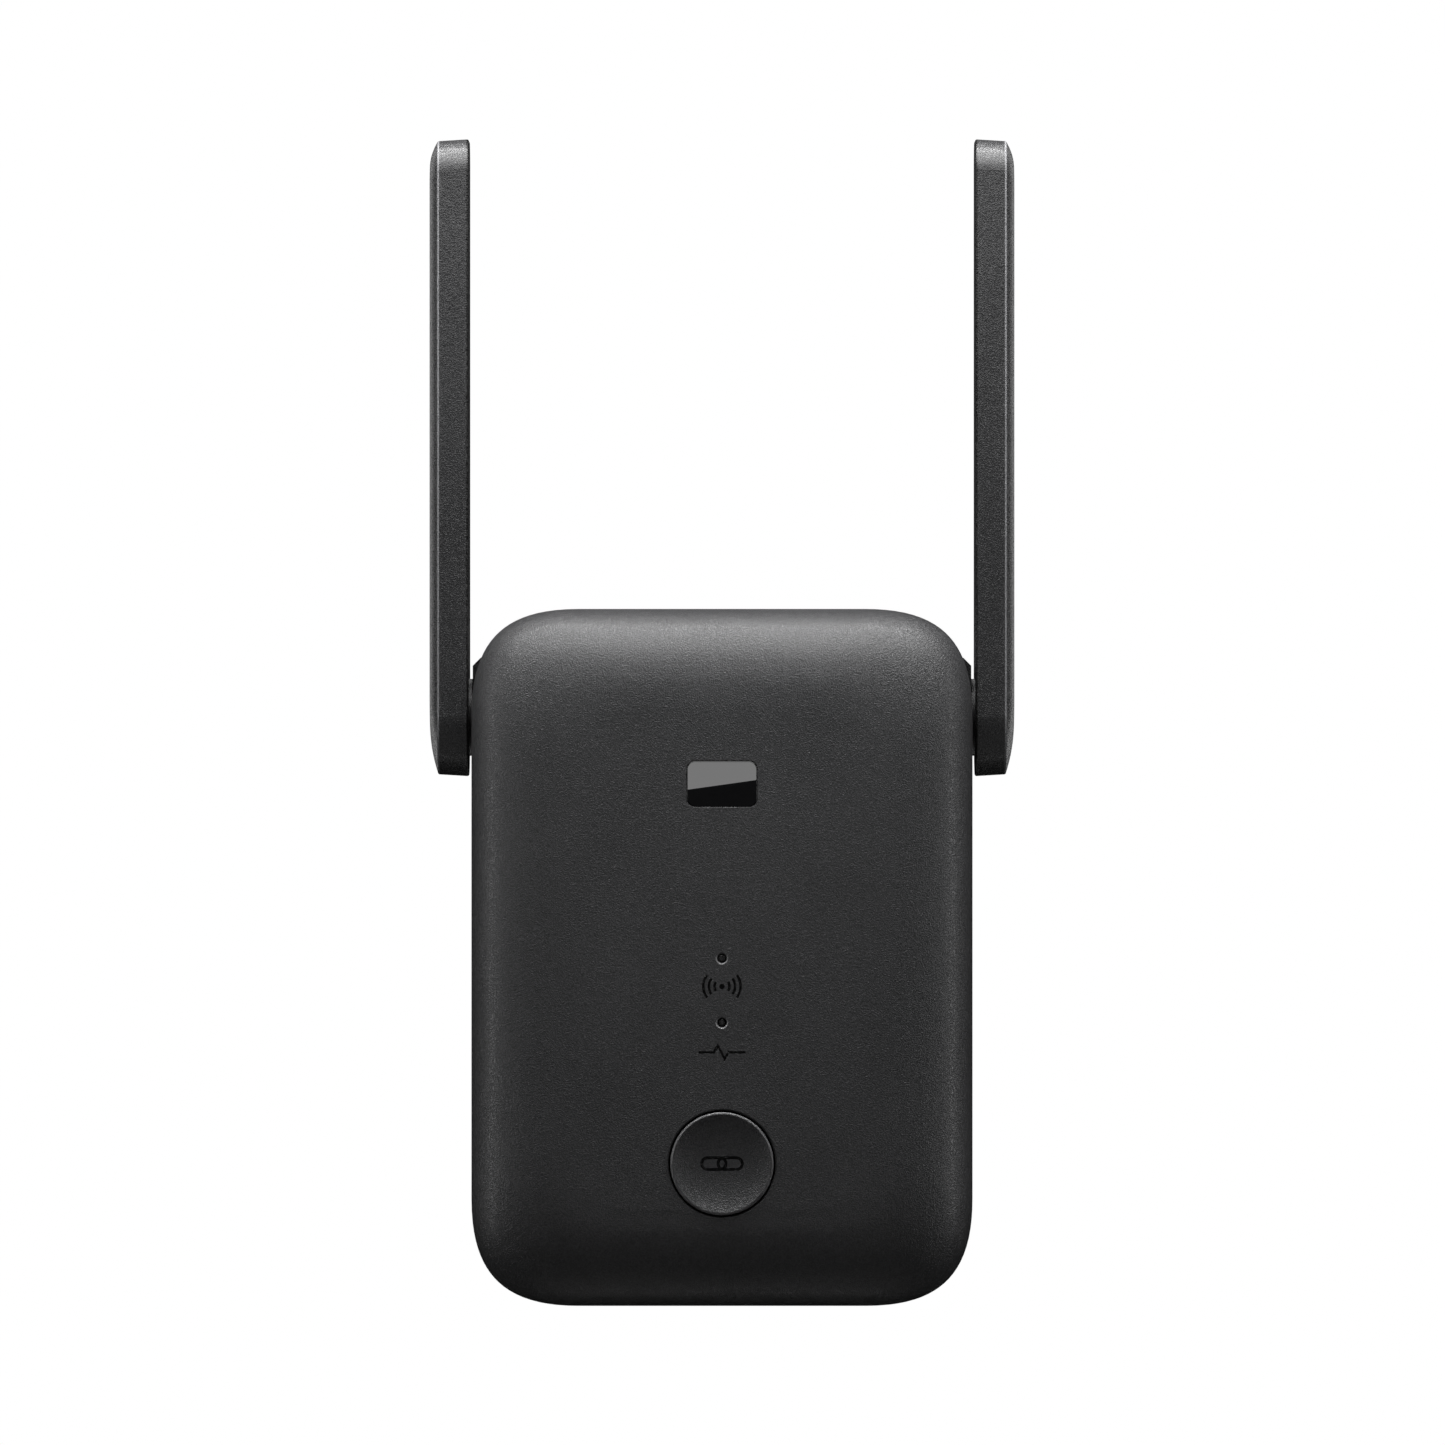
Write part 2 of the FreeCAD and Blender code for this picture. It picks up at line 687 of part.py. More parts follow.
def jack_port(z1):
    # the hollow that a network plug enters, with the notch for its latch
    port = block(-PORT_W / 2, PORT_W / 2, PORT_Y0, PORT_Y1, JACK_BOTTOM - 1, z1)
    latch = block(-LATCH_W / 2, LATCH_W / 2, PORT_Y1 - 1, LATCH_Y1, JACK_BOTTOM - 1, z1)
    return port.fuse(latch)


def jack_insert():
    solid = jack_block(JACK_SKIN, JACK_BOTTOM + JACK_LIP, JACK_TOP - JACK_SKIN)
    return solid.cut(jack_port(JACK_BOTTOM + PORT_DEPTH))


def jack_shield():
    inside = jack_block(JACK_SKIN, JACK_BOTTOM + JACK_LIP, JACK_TOP - JACK_SKIN)
    return jack_block(0.0, JACK_BOTTOM, JACK_TOP).cut([inside, jack_port(JACK_BOTTOM + 1)])


def jack_contacts():
    # eight springs that slope from the port's front wall towards its blind end
    foot = PORT_Y0
    tip = PORT_Y0 + CONTACT_RISE
    low = JACK_BOTTOM + 2.5
    high = JACK_BOTTOM + 11.2
    side = [(foot, low), (foot + 0.3, low), (tip, high - 0.4), (tip, high), (tip - 0.3, high)]
    springs = []
    for i in range(8):
        x = CONTACT_PITCH * (i - 3.5) - CONTACT_W / 2
        wire = Part.makePolygon([vec(x, y, z) for y, z in side + side[:1]])
        springs.append(Part.Face(wire).extrude(vec(CONTACT_W, 0, 0)))
    return group(springs)


# ---- power supply ----

def power_board():
    tall = POWER_TOP - POWER_BOTTOM
    middle = (POWER_TOP + POWER_BOTTOM) / 2
    board = on_power(2 * POWER_HALF_W, POWER_REAR - POWER_FRONT, tall, 0.0, middle)
    board.translate(vec(0, POWER_REAR - POWER_FRONT, 0))
    return board.cut([rod_y(STAKE_R + 0.05, x, z, POWER_FRONT - 1, POWER_REAR + 1) for x, z in STAKE_AT])


def upright_can(r, tall, x, z):
    return rod_y(r, x, z, POWER_FRONT - tall, POWER_FRONT)


def board_header():
    bar = on_power(width=17.0, tall=2.5, height=2.6, x=0.0, z=HEADER_Z)
    places = [HEADER_PITCH * (i - 2.5) for i in range(6)]
    pins = [rod_y(HEADER_PIN_R, x, HEADER_Z, MAIN_REAR, POWER_FRONT - 2) for x in places]
    return join([bar] + pins)


def bulk_capacitors():
    return group([capacitor_can(x=x, z0=-29.5, z1=-15.5) for x in (-13.5, -4.5)])


def capacitor_can(x, z0, z1):
    # can lying on the board, with the rolled groove near its sealed end
    y = POWER_FRONT - CAN_R - 0.05
    can = rod_z(CAN_R, x, y, z0, z1)
    groove = Part.makeTorus(CAN_R + 0.2, 0.5, vec(x, y, z0 + 1.6), vec(0, 0, 1))
    return can.cut(groove)


def output_capacitors():
    return group([upright_can(r=3.1, tall=9.2, x=x, z=-11.0) for x in (6.0, 13.5)])


def flyback_core():
    # two yokes joined by a middle leg and two outer legs, leaving a window on each side
    outer = on_power(CORE_W, CORE_TALL, CORE_H, 0.0, CORE_Z)
    window_w = (CORE_W - CORE_LEG) / 2 - 1.4
    window_x = (CORE_LEG + window_w) / 2
    window = on_power(window_w, CORE_TALL - 2 * YOKE_T, CORE_H + 2, 0.0, CORE_Z)
    windows = [window.translated(vec(side * window_x, -YOKE_T, 0)) for side in SIDES.values()]
    return outer.cut(windows)


def flyback_winding():
    back = POWER_FRONT - YOKE_T - 0.1
    front = POWER_FRONT - CORE_TALL + YOKE_T + 0.1
    coil = rounded_block_y(5.4, CORE_H / 2 + 3.4, 1.5, CORE_Z, front, back)
    leg = on_power(CORE_LEG + 0.1, CORE_TALL, CORE_H + 0.1, 0.0, CORE_Z)
    return coil.cut(leg)


def bridge_rectifier():
    return on_power(width=6.5, tall=2.4, height=5.0, x=10.75, z=-21.5)


def fuse():
    return upright_can(r=4.1, tall=7.5, x=-12.0, z=30.0)


def x_capacitor():
    box = on_power(width=13.0, tall=9.0, height=6.0, x=3.0, z=30.0)
    return round_long_edges(box, 0.8)


def y_capacitor():
    # disc standing on its edge
    r = 3.4
    return rod_x(r, 1, 12.0, 15.0, y=POWER_FRONT - r - 0.2, z=-2.0)


def choke():
    # wire wound between the two flanges of a bobbin
    tall = 8.0
    flange = upright_can(r=4.0, tall=1.2, x=-13.0, z=1.0)
    coil = upright_can(r=3.2, tall=tall, x=-13.0, z=1.0)
    return join([coil, flange, flange.translated(vec(0, 1.2 - tall, 0))])


def controller_chip():
    return on_power(width=5.0, tall=1.6, height=4.0, x=-0.5, z=-7.0)


def insulation_sheet():
    front = MAIN_REAR + 0.6
    return block(-19.5, 19.5, front, front + 0.4, HEADER_Z + 3.1, POWER_TOP + 0.5)


# ---- fasteners ----

def case_screws():
    screws = []
    for x, z in CASE_SCREW_AT:
        head = rod_y(SCREW_HEAD_R, x, z, SEAT_Y, SEAT_Y + SCREW_HEAD_T)
        head = head.makeFillet(0.6, end_face(head, "y", 1).Edges)
        shank = rod_y(SCREW_R, x, z, SCREW_TIP_Y, SEAT_Y + ROOT)
        cross = [screw_slot(x, z, SCREW_SLOT_W, SCREW_SLOT_L), screw_slot(x, z, SCREW_SLOT_L, SCREW_SLOT_W)]
        screws.append(join([head, shank]).cut(cross))
    return group(screws)


def screw_slot(x, z, width, height):
    top = SEAT_Y + SCREW_HEAD_T
    return block(x - width / 2, x + width / 2, top - 0.9, top + 1, z - height / 2, z + height / 2)


def board_screws():
    screws = []
    for x, z in BOARD_SCREW_AT:
        head = rod_y(BOARD_SCREW_HEAD_R, x, z, MAIN_REAR, MAIN_REAR + BOARD_SCREW_HEAD_T)
        shank = rod_y(BOARD_SCREW_R, x, z, BOARD_SCREW_TIP_Y, MAIN_REAR + ROOT)
        screws.append(join([head, shank]))
    return group(screws)


# ---- antennas ----

def paddle_outline(side, x, inset_side, inset_top, inset_bottom, corner_r):
    # half-round foot, straight sides and a level top with rounded corners
    half = PADDLE_HALF_W - inset_side
    foot_z = HINGE_Z - PADDLE_HALF_W + inset_bottom + half
    top_z = HINGE_Z + PADDLE_TOP - inset_top
    bend_z = top_z - corner_r

    def at(y, z):
        return vec(side * x, HINGE_Y + y, z)

    flat = half - corner_r
    foot = Part.Arc(at(half, foot_z), at(0, foot_z - half), at(-half, foot_z)).toShape()
    front = Part.makeLine(at(-half, foot_z), at(-half, bend_z))
    front_bend = corner_arc(at(-half, bend_z), at(-flat, top_z), at(-flat, bend_z))
    top = Part.makeLine(at(-flat, top_z), at(flat, top_z))
    rear_bend = corner_arc(at(flat, top_z), at(half, bend_z), at(flat, bend_z))
    rear = Part.makeLine(at(half, bend_z), at(half, foot_z))
    return Part.Wire([foot, front, front_bend, top, rear_bend, rear])


def paddle_slab(side, x0, x1, inset, corner_r):
    wire = paddle_outline(side, x0, inset, inset, inset, corner_r)
    return Part.Face(wire).extrude(vec(side * (x1 - x0), 0, 0))


def paddle_window(side, x0, x1, inset):
    # the part of the paddle above the hinge that is hollow
    slab = paddle_slab(side, x0, x1, inset, PADDLE_TOP_R - 1)
    lo, hi = across(side, x0 - 1, x1 + 1)
    from_z = HINGE_Z + CAVITY_FROM + inset - PADDLE_WALL
    half = PADDLE_HALF_W + 1
    return slab.common(block(lo, hi, HINGE_Y - half, HINGE_Y + half, from_z, HINGE_Z + PADDLE_TOP))


def level_edges(solid, x):
    # edges that lie in one plane across X
    return [e for e in solid.Edges if e.BoundBox.XLength < 0.001 and abs(e.CenterOfMass.x - x) < 0.001]


def bevel_outline(side, step):
    # outlines that shrink ever faster on the way from the crease to the outer face
    left = 1 - step / BEVEL_STEPS
    x = PADDLE_OUT - PADDLE_BEVEL * left ** 2
    insets = [PADDLE_DRAFT + full * (1 - left) for full in (BEVEL_SIDE, BEVEL_TOP, BEVEL_BOTTOM)]
    return paddle_outline(side, x, *insets, PADDLE_TOP_R - 1.5 * (1 - left))


def antenna_shell(side):
    crease = PADDLE_OUT - PADDLE_BEVEL
    root = paddle_outline(side, PADDLE_IN, 0.0, 0.0, 0.0, PADDLE_TOP_R)
    body = Part.makeLoft([root, bevel_outline(side, 0)], True, True)
    bevel = Part.makeLoft([bevel_outline(side, step) for step in range(BEVEL_STEPS + 1)], True, False)
    body = body.fuse(bevel).removeSplitter()
    sharp = level_edges(body, side * crease) + level_edges(body, side * PADDLE_IN)
    body = body.makeFillet(PADDLE_EDGE_R, sharp)
    floor_x = crease - PADDLE_SKIN
    cavity = paddle_window(side, PADDLE_IN - 1, floor_x, PADDLE_WALL)
    seat = rod_x(DISC_R + 0.02, side, PADDLE_IN - 1, DISC_OUT)
    hub = rod_x(HUB_R + 0.02, side, PADDLE_IN, HUB_OUT)
    lo, hi = across(side, HUB_OUT - 1, floor_x)
    half = COAX_GROOVE / 2
    channel = block(lo, hi, HINGE_Y - half, HINGE_Y + half, HINGE_Z - half, HINGE_Z + CAVITY_FROM + 1)
    return body.cut([cavity, seat, hub, channel])


def antenna_cover(side):
    return paddle_window(side, PADDLE_IN, PADDLE_IN + COVER_T, PADDLE_WALL + 0.06)


def radiator_board(side):
    lo, hi = across(side, RADIATOR_IN, RADIATOR_OUT)
    half = RADIATOR_HALF_W
    return block(lo, hi, HINGE_Y - half, HINGE_Y + half, HINGE_Z + RADIATOR_FROM, HINGE_Z + RADIATOR_TO)


def hinge_shaft(side):
    shaft = join([
        rod_x(SHAFT_R, side, SHAFT_IN, DISC_IN + 0.5),
        rod_x(DISC_R, side, DISC_IN, DISC_OUT),
        rod_x(HUB_R, side, DISC_OUT - 0.5, HUB_OUT),
    ])
    groove = rod_x(SHAFT_R + 1, side, CLIP_IN, CLIP_OUT).cut(rod_x(CLIP_GROOVE_R, side, CLIP_IN, CLIP_OUT))
    return shaft.cut([groove, rod_x(SHAFT_HOLLOW_R, side, SHAFT_IN - 1, HUB_OUT + 1)])


def friction_washer(side):
    outer = rod_x(5.4, side, CLIP_OUT + 0.1, HINGE_BOSS_IN)
    return outer.cut(rod_x(SHAFT_BORE_R, side, CLIP_OUT - 1, HINGE_BOSS_IN + 1))


def retaining_clip(side):
    ring = rod_x(4.6, side, CLIP_IN, CLIP_OUT).cut(rod_x(CLIP_GROOVE_R, side, CLIP_IN - 1, CLIP_OUT + 1))
    lo, hi = across(side, CLIP_IN - 1, CLIP_OUT + 1)
    return ring.cut(block(lo, hi, HINGE_Y - 1.4, HINGE_Y + 1.4, HINGE_Z - 6, HINGE_Z))


def antenna_coax(side):
    # from the split in the hollow shaft, out along the hinge axis and up onto the radiator board
    x = RADIATOR_OUT + COAX_R
    points = [
        vec(side * (COAX_SPLIT + 0.3), HINGE_Y, HINGE_Z),
        vec(side * x, HINGE_Y, HINGE_Z),
        vec(side * x, HINGE_Y, HINGE_Z + ANTENNA_COAX_UP),
    ]
    return coax_path(points, ANTENNA_COAX_BEND)


def coax_lead(side):
    # from the split in the hollow shaft to the connector on the main board
    points = [
        vec(side * COAX_SPLIT, HINGE_Y, HINGE_Z),
        vec(side * COAX_X, HINGE_Y, HINGE_Z),
        vec(side * COAX_X, COAX_Y, HINGE_Z),
        vec(side * COAX_X, COAX_Y, COAX_END_Z),
    ]
    return coax_path(points, LEAD_BEND)


PARTS = {
    "front_cover": front_cover(),
    "badge_plate": badge_plate(),
    "rear_housing": rear_housing(),
    "rear_label": rear_label(),
    "plug_neck": plug_neck(),
    "plug_pins": plug_pins(),
    "pin_sleeves": pin_sleeves(),
    "mains_contacts": mains_contacts(),
    "button_cap": button_cap(),
    "button_switch_base": button_switch_base(),
    "button_switch_plunger": button_switch_plunger(),
    "reset_switch_base": reset_switch_base(),
    "reset_switch_plunger": reset_switch_plunger(),
    "signal_light_pipe": light_pipe(SIGNAL_Z),
    "system_light_pipe": light_pipe(SYSTEM_Z),
    "led_chips": led_chips(),
    "main_board": main_board(),
    "main_processor": main_processor(),
    "thermal_pad": thermal_pad(),
    "heat_spreader": heat_spreader(),
    "radio_shields": radio_shields(),
    "memory_chips": memory_chips(),
    "crystal_can": crystal_can(),
    "lan_transformer": lan_transformer(),
    "coax_connectors": coax_connectors(),
    "jack_insert": jack_insert(),
    "jack_shield": jack_shield(),
    "jack_contacts": jack_contacts(),
    "power_board": power_board(),
    "board_header": board_header(),
    "bulk_capacitors": bulk_capacitors(),
    "output_capacitors": output_capacitors(),
    "flyback_core": flyback_core(),
    "flyback_winding": flyback_winding(),
    "bridge_rectifier": bridge_rectifier(),
    "fuse": fuse(),
    "x_capacitor": x_capacitor(),
    "y_capacitor": y_capacitor(),
    "choke": choke(),
    "controller_chip": controller_chip(),
    "insulation_sheet": insulation_sheet(),
    "case_screws": case_screws(),
    "board_screws": board_screws(),
}
for name, side in SIDES.items():
    PARTS[name + "_antenna_shell"] = antenna_shell(side)
    PARTS[name + "_antenna_cover"] = antenna_cover(side)
    PARTS[name + "_radiator_board"] = radiator_board(side)
    PARTS[name + "_hinge_shaft"] = hinge_shaft(side)
    PARTS[name + "_friction_washer"] = friction_washer(side)
    PARTS[name + "_retaining_clip"] = retaining_clip(side)
    PARTS[name + "_antenna_coax"] = antenna_coax(side)
    PARTS[name + "_coax_lead"] = coax_lead(side)

os.makedirs("parts", exist_ok=True)
for name, shape in PARTS.items():
    shape.exportStep("parts/" + name + ".step")
    print(name, len(shape.Solids), shape.isValid(), round(shape.Volume, 1))
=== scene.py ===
"""The looks of a wifi range extender: finishes, printed marks, lights, floor and camera."""
import json
import math

import bpy
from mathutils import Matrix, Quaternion, Vector

MM = 0.001

# the camera's view: far back with a long lens, level with the middle of the picture
VIEW_DISTANCE = 2.5
VIEW_WIDTH = 222.2 * MM
VIEW_CENTRE = Vector((0.08 * MM, -40.0 * MM, 28.1 * MM))
SENSOR = 36.0

# the card just behind the camera leans over, which slants its edge in the inlay
CARD_PLACE = (-0.0035, -2.85, 0.0326)
CARD_SIZE = (0.06, 0.05)
CARD_POWER = 0.026
CARD_TILT = math.radians(8.0)

# light panels on the middle plane: name, place, point faced, width, height, watts, pieces lit
CASE_MIDDLE = (0, -0.05, -0.01)
PANELS = (
    ("overhead", (0, -0.115, 0.17), (0, -0.115, 0), 0.34, 0.12, 0.62, "all"),
    ("overhead_line", (0, -0.085, 0.31), (0, -0.085, 0), 0.34, 0.05, 0.7, "all"),
    ("front_light", (0, -0.9, 0.9), CASE_MIDDLE, 0.6, 0.4, 0.6, "all"),
    ("low_light", (0, -0.3, -0.8), CASE_MIDDLE, 0.6, 0.4, 0.2, "case"),
    ("back_light", (0, 0.8, 0.9), CASE_MIDDLE, 0.9, 0.6, 8.0, "rear"),
    ("back_low_light", (0, 0.4, -0.8), CASE_MIDDLE, 0.6, 0.4, 2.5, "rear"),
    ("antenna_line", (0, -0.06, 0.31), (0, -0.06, 0), 0.34, 0.05, 1.6, "blades"),
)

# light panels on the right, mirrored on the left; there "blades" means the nearer antenna's
SIDE_PANELS = (
    ("side_light", (0.9, -0.25, 0.05), CASE_MIDDLE, 0.16, 0.6, 1.6, "case"),
    ("rim_light", (0.5, 0.9, 0.1), (0.04, 0, 0.07), 0.3, 0.6, 0.62, "blades"),
    ("foot_light", (0.1, -0.15, -0.16), (0.042, -0.027, 0.025), 0.3, 0.3, 0.08, "blades"),
)

# the floor's height, half its width, and its own panel's height above it and watts
FLOOR_Z = -3.0
FLOOR_HALF = 0.45
FLOOR_LIGHT_RISE = 1.5
FLOOR_LIGHT_POWER = 28.0

# colours, linear
CASE_BLACK = (0.062, 0.062, 0.0638)
ANTENNA_BLACK = (0.030, 0.030, 0.031)
GLOSS_BLACK = (0.006, 0.006, 0.0065)
PRINT_BLACK = (0.002, 0.002, 0.002)
NICKEL = (0.72, 0.70, 0.66)
BRASS = (0.78, 0.58, 0.28)
STEEL = (0.56, 0.56, 0.57)

# heights of the front marks and lights
SIGNAL_MARK_Z = -12.3 * MM
SYSTEM_MARK_Z = -22.4 * MM
BUTTON_MARK_Z = -39.45 * MM
LIGHT_Z = (-8.0 * MM, -17.85 * MM)

# the front marks: a dot with arcs, a pulse line given by its bends in mm, and two links
DOT_RADIUS = 0.42 * MM
ARC_RADII = (1.15 * MM, 2.0 * MM, 2.85 * MM)
ARC_HALF_WIDTH = 0.2 * MM
ARC_STEEPNESS = 0.75
PULSE_HALF = 3.6
PULSE_BENDS = ((-PULSE_HALF, 0.0), (-1.3, 0.0), (-0.6, 1.0), (0.4, -1.0), (1.0, 0.0), (PULSE_HALF, 0.0))
PULSE_MIDDLE = -0.15 * MM
PULSE_STEEP_HALF = 1.15 * MM
LINE_HALF_WIDTH = 0.19 * MM
LINK_OFFSET = 1.25 * MM
LINK_STRAIGHT_HALF = 0.95 * MM
LINK_RADIUS = 0.9 * MM
LINK_HALF_WIDTH = 0.23 * MM

# painted highlights on the rims of the light holes and the button: radius, width, how much paler than the
# case
LIGHT_RIM_HIGHLIGHT = (0.85 * MM, 0.2 * MM, 2.4)
BUTTON_RIM_HIGHLIGHT = (7.75 * MM, 0.3 * MM, 1.8)

# ink and the painted rim highlights lie in front of these planes
INK_PLANE = -49.2 * MM
RIM_PLANE = -50.0 * MM

# how far the shading is blended across moulded edges, and across the rim of the flat front
SOFT_EDGE = 0.15 * MM
SOFT_BEND = 2.5 * MM

# that rim's blend fades in beside the middle line, above the badge and towards the front
EASE_BESIDE = (16 * MM, 20 * MM)
EASE_ABOVE = (24 * MM, 27 * MM)
EASE_FORWARD = (-46 * MM, -48 * MM)

# how brightly the surroundings light the piece, from the sides and below, and from above
DIM_BELOW = 0.012
DIM_ABOVE = 0.10

# a thread of the boards' glass cloth repeats every two pi times this
THREAD = MM / 9

# each antenna's bevel starts at its crease and its shell ends at its seam, from the middle plane; a
# painted highlight lines the crease and painted shade the seam
ANTENNA_CREASE = 43.75 * MM
ANTENNA_SEAM = 39.24 * MM


class Finish:
    """A node material that is built up piece by piece."""

    def __init__(self, name):
        self.material = bpy.data.materials.new(name)
        self.material.use_nodes = True
        self.tree = self.material.node_tree
        self.shader = self.tree.nodes["Principled BSDF"]
        self.place = self.add("ShaderNodeTexCoord").outputs["Object"]
        self.soft = None  # the node that rounds the shading of edges, where a finish has one

    def add(self, kind, settings=None, inputs=None):
        node = self.tree.nodes.new(kind)
        for key, value in (settings or {}).items():
            setattr(node, key, value)
        for key, value in (inputs or {}).items():
            self.feed(node.inputs[key], value)
        return node

    def feed(self, socket, value):
        if isinstance(value, bpy.types.NodeSocket):
            self.tree.links.new(value, socket)
        elif isinstance(value, tuple) and socket.type == "RGBA":
            socket.default_value = (*value, 1.0)
        else:
            socket.default_value = value

    def maths(self, operation, a, b=0.0, c=0.0):
        node = self.add("ShaderNodeMath", {"operation": operation}, {0: a, 1: b, 2: c})
        return node.outputs[0]

    def distance(self, a, b):
        squares = self.maths("ADD", self.maths("MULTIPLY", a, a), self.maths("MULTIPLY", b, b))
        return self.maths("SQRT", squares)

    def gap(self, value, target):
        return self.maths("ABSOLUTE", self.maths("SUBTRACT", value, target))

    def within(self, value, target, reach):
        # one where the value is less than reach from the target, nought elsewhere
        return self.maths("LESS_THAN", self.gap(value, target), reach)

    def noise(self, size, detail=2.0, rough=0.5):
        # size is the width of one bump, in metres
        inputs = {"Vector": self.place, "Scale": 1 / size, "Detail": detail, "Roughness": rough}
        return self.add("ShaderNodeTexNoise", None, inputs).outputs["Fac"]

    def cells(self, size):
        inputs = {"Vector": self.place, "Scale": 1 / size, "Smoothness": 0.6}
        return self.add("ShaderNodeTexVoronoi", {"feature": "SMOOTH_F1"}, inputs).outputs["Distance"]

    def spread(self, value, low, high, to_low, to_high):
        inputs = {"Value": value, "From Min": low, "From Max": high, "To Min": to_low, "To Max": to_high}
        return self.add("ShaderNodeMapRange", None, inputs).outputs[0]

    def blend(self, amount, first, second):
        node = self.add("ShaderNodeMix", {"data_type": "RGBA"}, {0: amount})
        self.feed(node.inputs[6], first)
        self.feed(node.inputs[7], second)
        return node.outputs[2]

    def bump(self, height, depth, strength=1.0, under=None):
        inputs = {"Height": height, "Distance": depth, "Strength": strength}
        if under is not None:
            inputs["Normal"] = under
        return self.add("ShaderNodeBump", None, inputs).outputs["Normal"]

    def edges(self, radius):
        # one at sharp edges, nought on flats
        soft = self.add("ShaderNodeBevel", {"samples": 4}, {"Radius": radius}).outputs["Normal"]
        hard = self.add("ShaderNodeNewGeometry").outputs["Normal"]
        dot = self.add("ShaderNodeVectorMath", {"operation": "DOT_PRODUCT"}, {0: soft, 1: hard})
        return self.spread(dot.outputs["Value"], 0.98, 0.80, 0.0, 1.0)

    def axes(self):
        node = self.add("ShaderNodeSeparateXYZ", None, {0: self.place})
        return node.outputs[0], node.outputs[1], node.outputs[2]

    def overlay(self, mask, colour, rough):
        # lays another colour and roughness over what is there, as far as the mask says
        for name, laid in (("Base Color", colour), ("Roughness", rough)):
            socket = self.shader.inputs[name]
            under = socket.links[0].from_socket
            if name == "Base Color":
                over = self.blend(mask, under, laid)
            else:
                mix = self.add("ShaderNodeMix", {"data_type": "FLOAT"}, {0: mask, 2: under, 3: laid})
                over = mix.outputs[0]
            self.tree.links.new(over, socket)
        return self

    def set(self, **values):
        for key, value in values.items():
            self.feed(self.shader.inputs[key.replace("_", " ")], value)
        return self


def tinted(colour, factor):
    return tuple(c * factor for c in colour)


def grain(f, size):
    """Relief of low pebbles with narrow valleys wandering between them, from nought to one."""
    pebbles = f.spread(f.gap(f.noise(size, 1.0), 0.5), 0.0, 0.13, 0.0, 1.0)
    fine = f.noise(size * 0.35)
    return f.maths("ADD", f.maths("MULTIPLY", pebbles, 0.8), f.maths("MULTIPLY", fine, 0.2))


def moulded(name, colour, size=0.32 * MM, depth=0.036 * MM, rough=0.31):
    """Injection-moulded plastic with an etched grain, rubbed smoother on its edges."""
    f = Finish(name)
    cloud = f.noise(14 * MM, 3.0)
    relief = grain(f, size)
    edge = f.edges(0.35 * MM)
    base = f.blend(f.spread(cloud, 0.3, 0.7, 0.0, 1.0), tinted(colour, 0.93), tinted(colour, 1.07))
    speckle = f.spread(f.noise(size * 0.8, 1.0), 0.3, 0.7, 0.0, 0.6)
    base = f.blend(speckle, base, tinted(colour, 0.3))
    roughness = f.spread(relief, 0.0, 1.0, rough + 0.06, rough - 0.04)
    roughness = f.maths("SUBTRACT", roughness, f.maths("MULTIPLY", edge, 0.06))
    f.soft = f.add("ShaderNodeBevel", {"samples": 4}, {"Radius": SOFT_EDGE})
    f.set(Base_Color=base, Roughness=roughness)
    return f.set(Normal=f.bump(relief, depth, 1.0, f.soft.outputs["Normal"]))


def ease_bend(f):
    """Blends the shading where the cover's bend meets its flat front, clear of the badge and button."""
    x, y, z = f.axes()
    beside = f.spread(f.maths("ABSOLUTE", x), *EASE_BESIDE, 0.0, 1.0)
    above = f.spread(z, *EASE_ABOVE, 0.0, 1.0)
    forward = f.spread(y, *EASE_FORWARD, 0.0, 1.0)
    near = f.maths("MULTIPLY", f.maths("MAXIMUM", beside, above), forward)
    f.feed(f.soft.inputs["Radius"], f.spread(near, 0.0, 1.0, SOFT_EDGE, SOFT_BEND))
    return f


def antenna_plastic():
    """The case's plastic, a little darker and shinier, with a painted highlight on the crease and painted
    shade in the seam.
    """
    f = moulded("antenna_black", ANTENNA_BLACK, 0.26 * MM, 0.029 * MM, 0.26)
    x, _, _ = f.axes()
    out = f.maths("ABSOLUTE", x)
    # a painted highlight: a pale line along the crease
    crease_highlight = f.spread(f.gap(out, ANTENNA_CREASE), 0.08 * MM, 0.2 * MM, 1.0, 0.0)
    f.overlay(crease_highlight, tinted(ANTENNA_BLACK, 6.0), 0.25)
    # painted shade: a near-black line along the seam at the inner edge
    seam_shade = f.spread(f.gap(out, ANTENNA_SEAM), 0.12 * MM, 0.2 * MM, 1.0, 0.0)
    return f.overlay(seam_shade, PRINT_BLACK, 0.3)


def smooth_plastic(name, colour, rough=0.3):
    """Plain moulded plastic with faint flow marks and fine scuffs."""
    f = Finish(name)
    flow = f.noise(3 * MM, 4.0)
    scuff = f.noise(0.25 * MM, 5.0, 0.7)
    base = f.blend(f.spread(flow, 0.3, 0.7, 0.0, 1.0), tinted(colour, 0.9), tinted(colour, 1.1))
    base = f.blend(f.maths("MULTIPLY", f.edges(0.15 * MM), 0.3), base, tinted(colour, 1.5))
    f.set(Base_Color=base, Roughness=f.spread(scuff, 0.3, 0.7, rough - 0.06, rough + 0.08))
    f.set(Normal=f.bump(flow, 0.01 * MM))
    return f


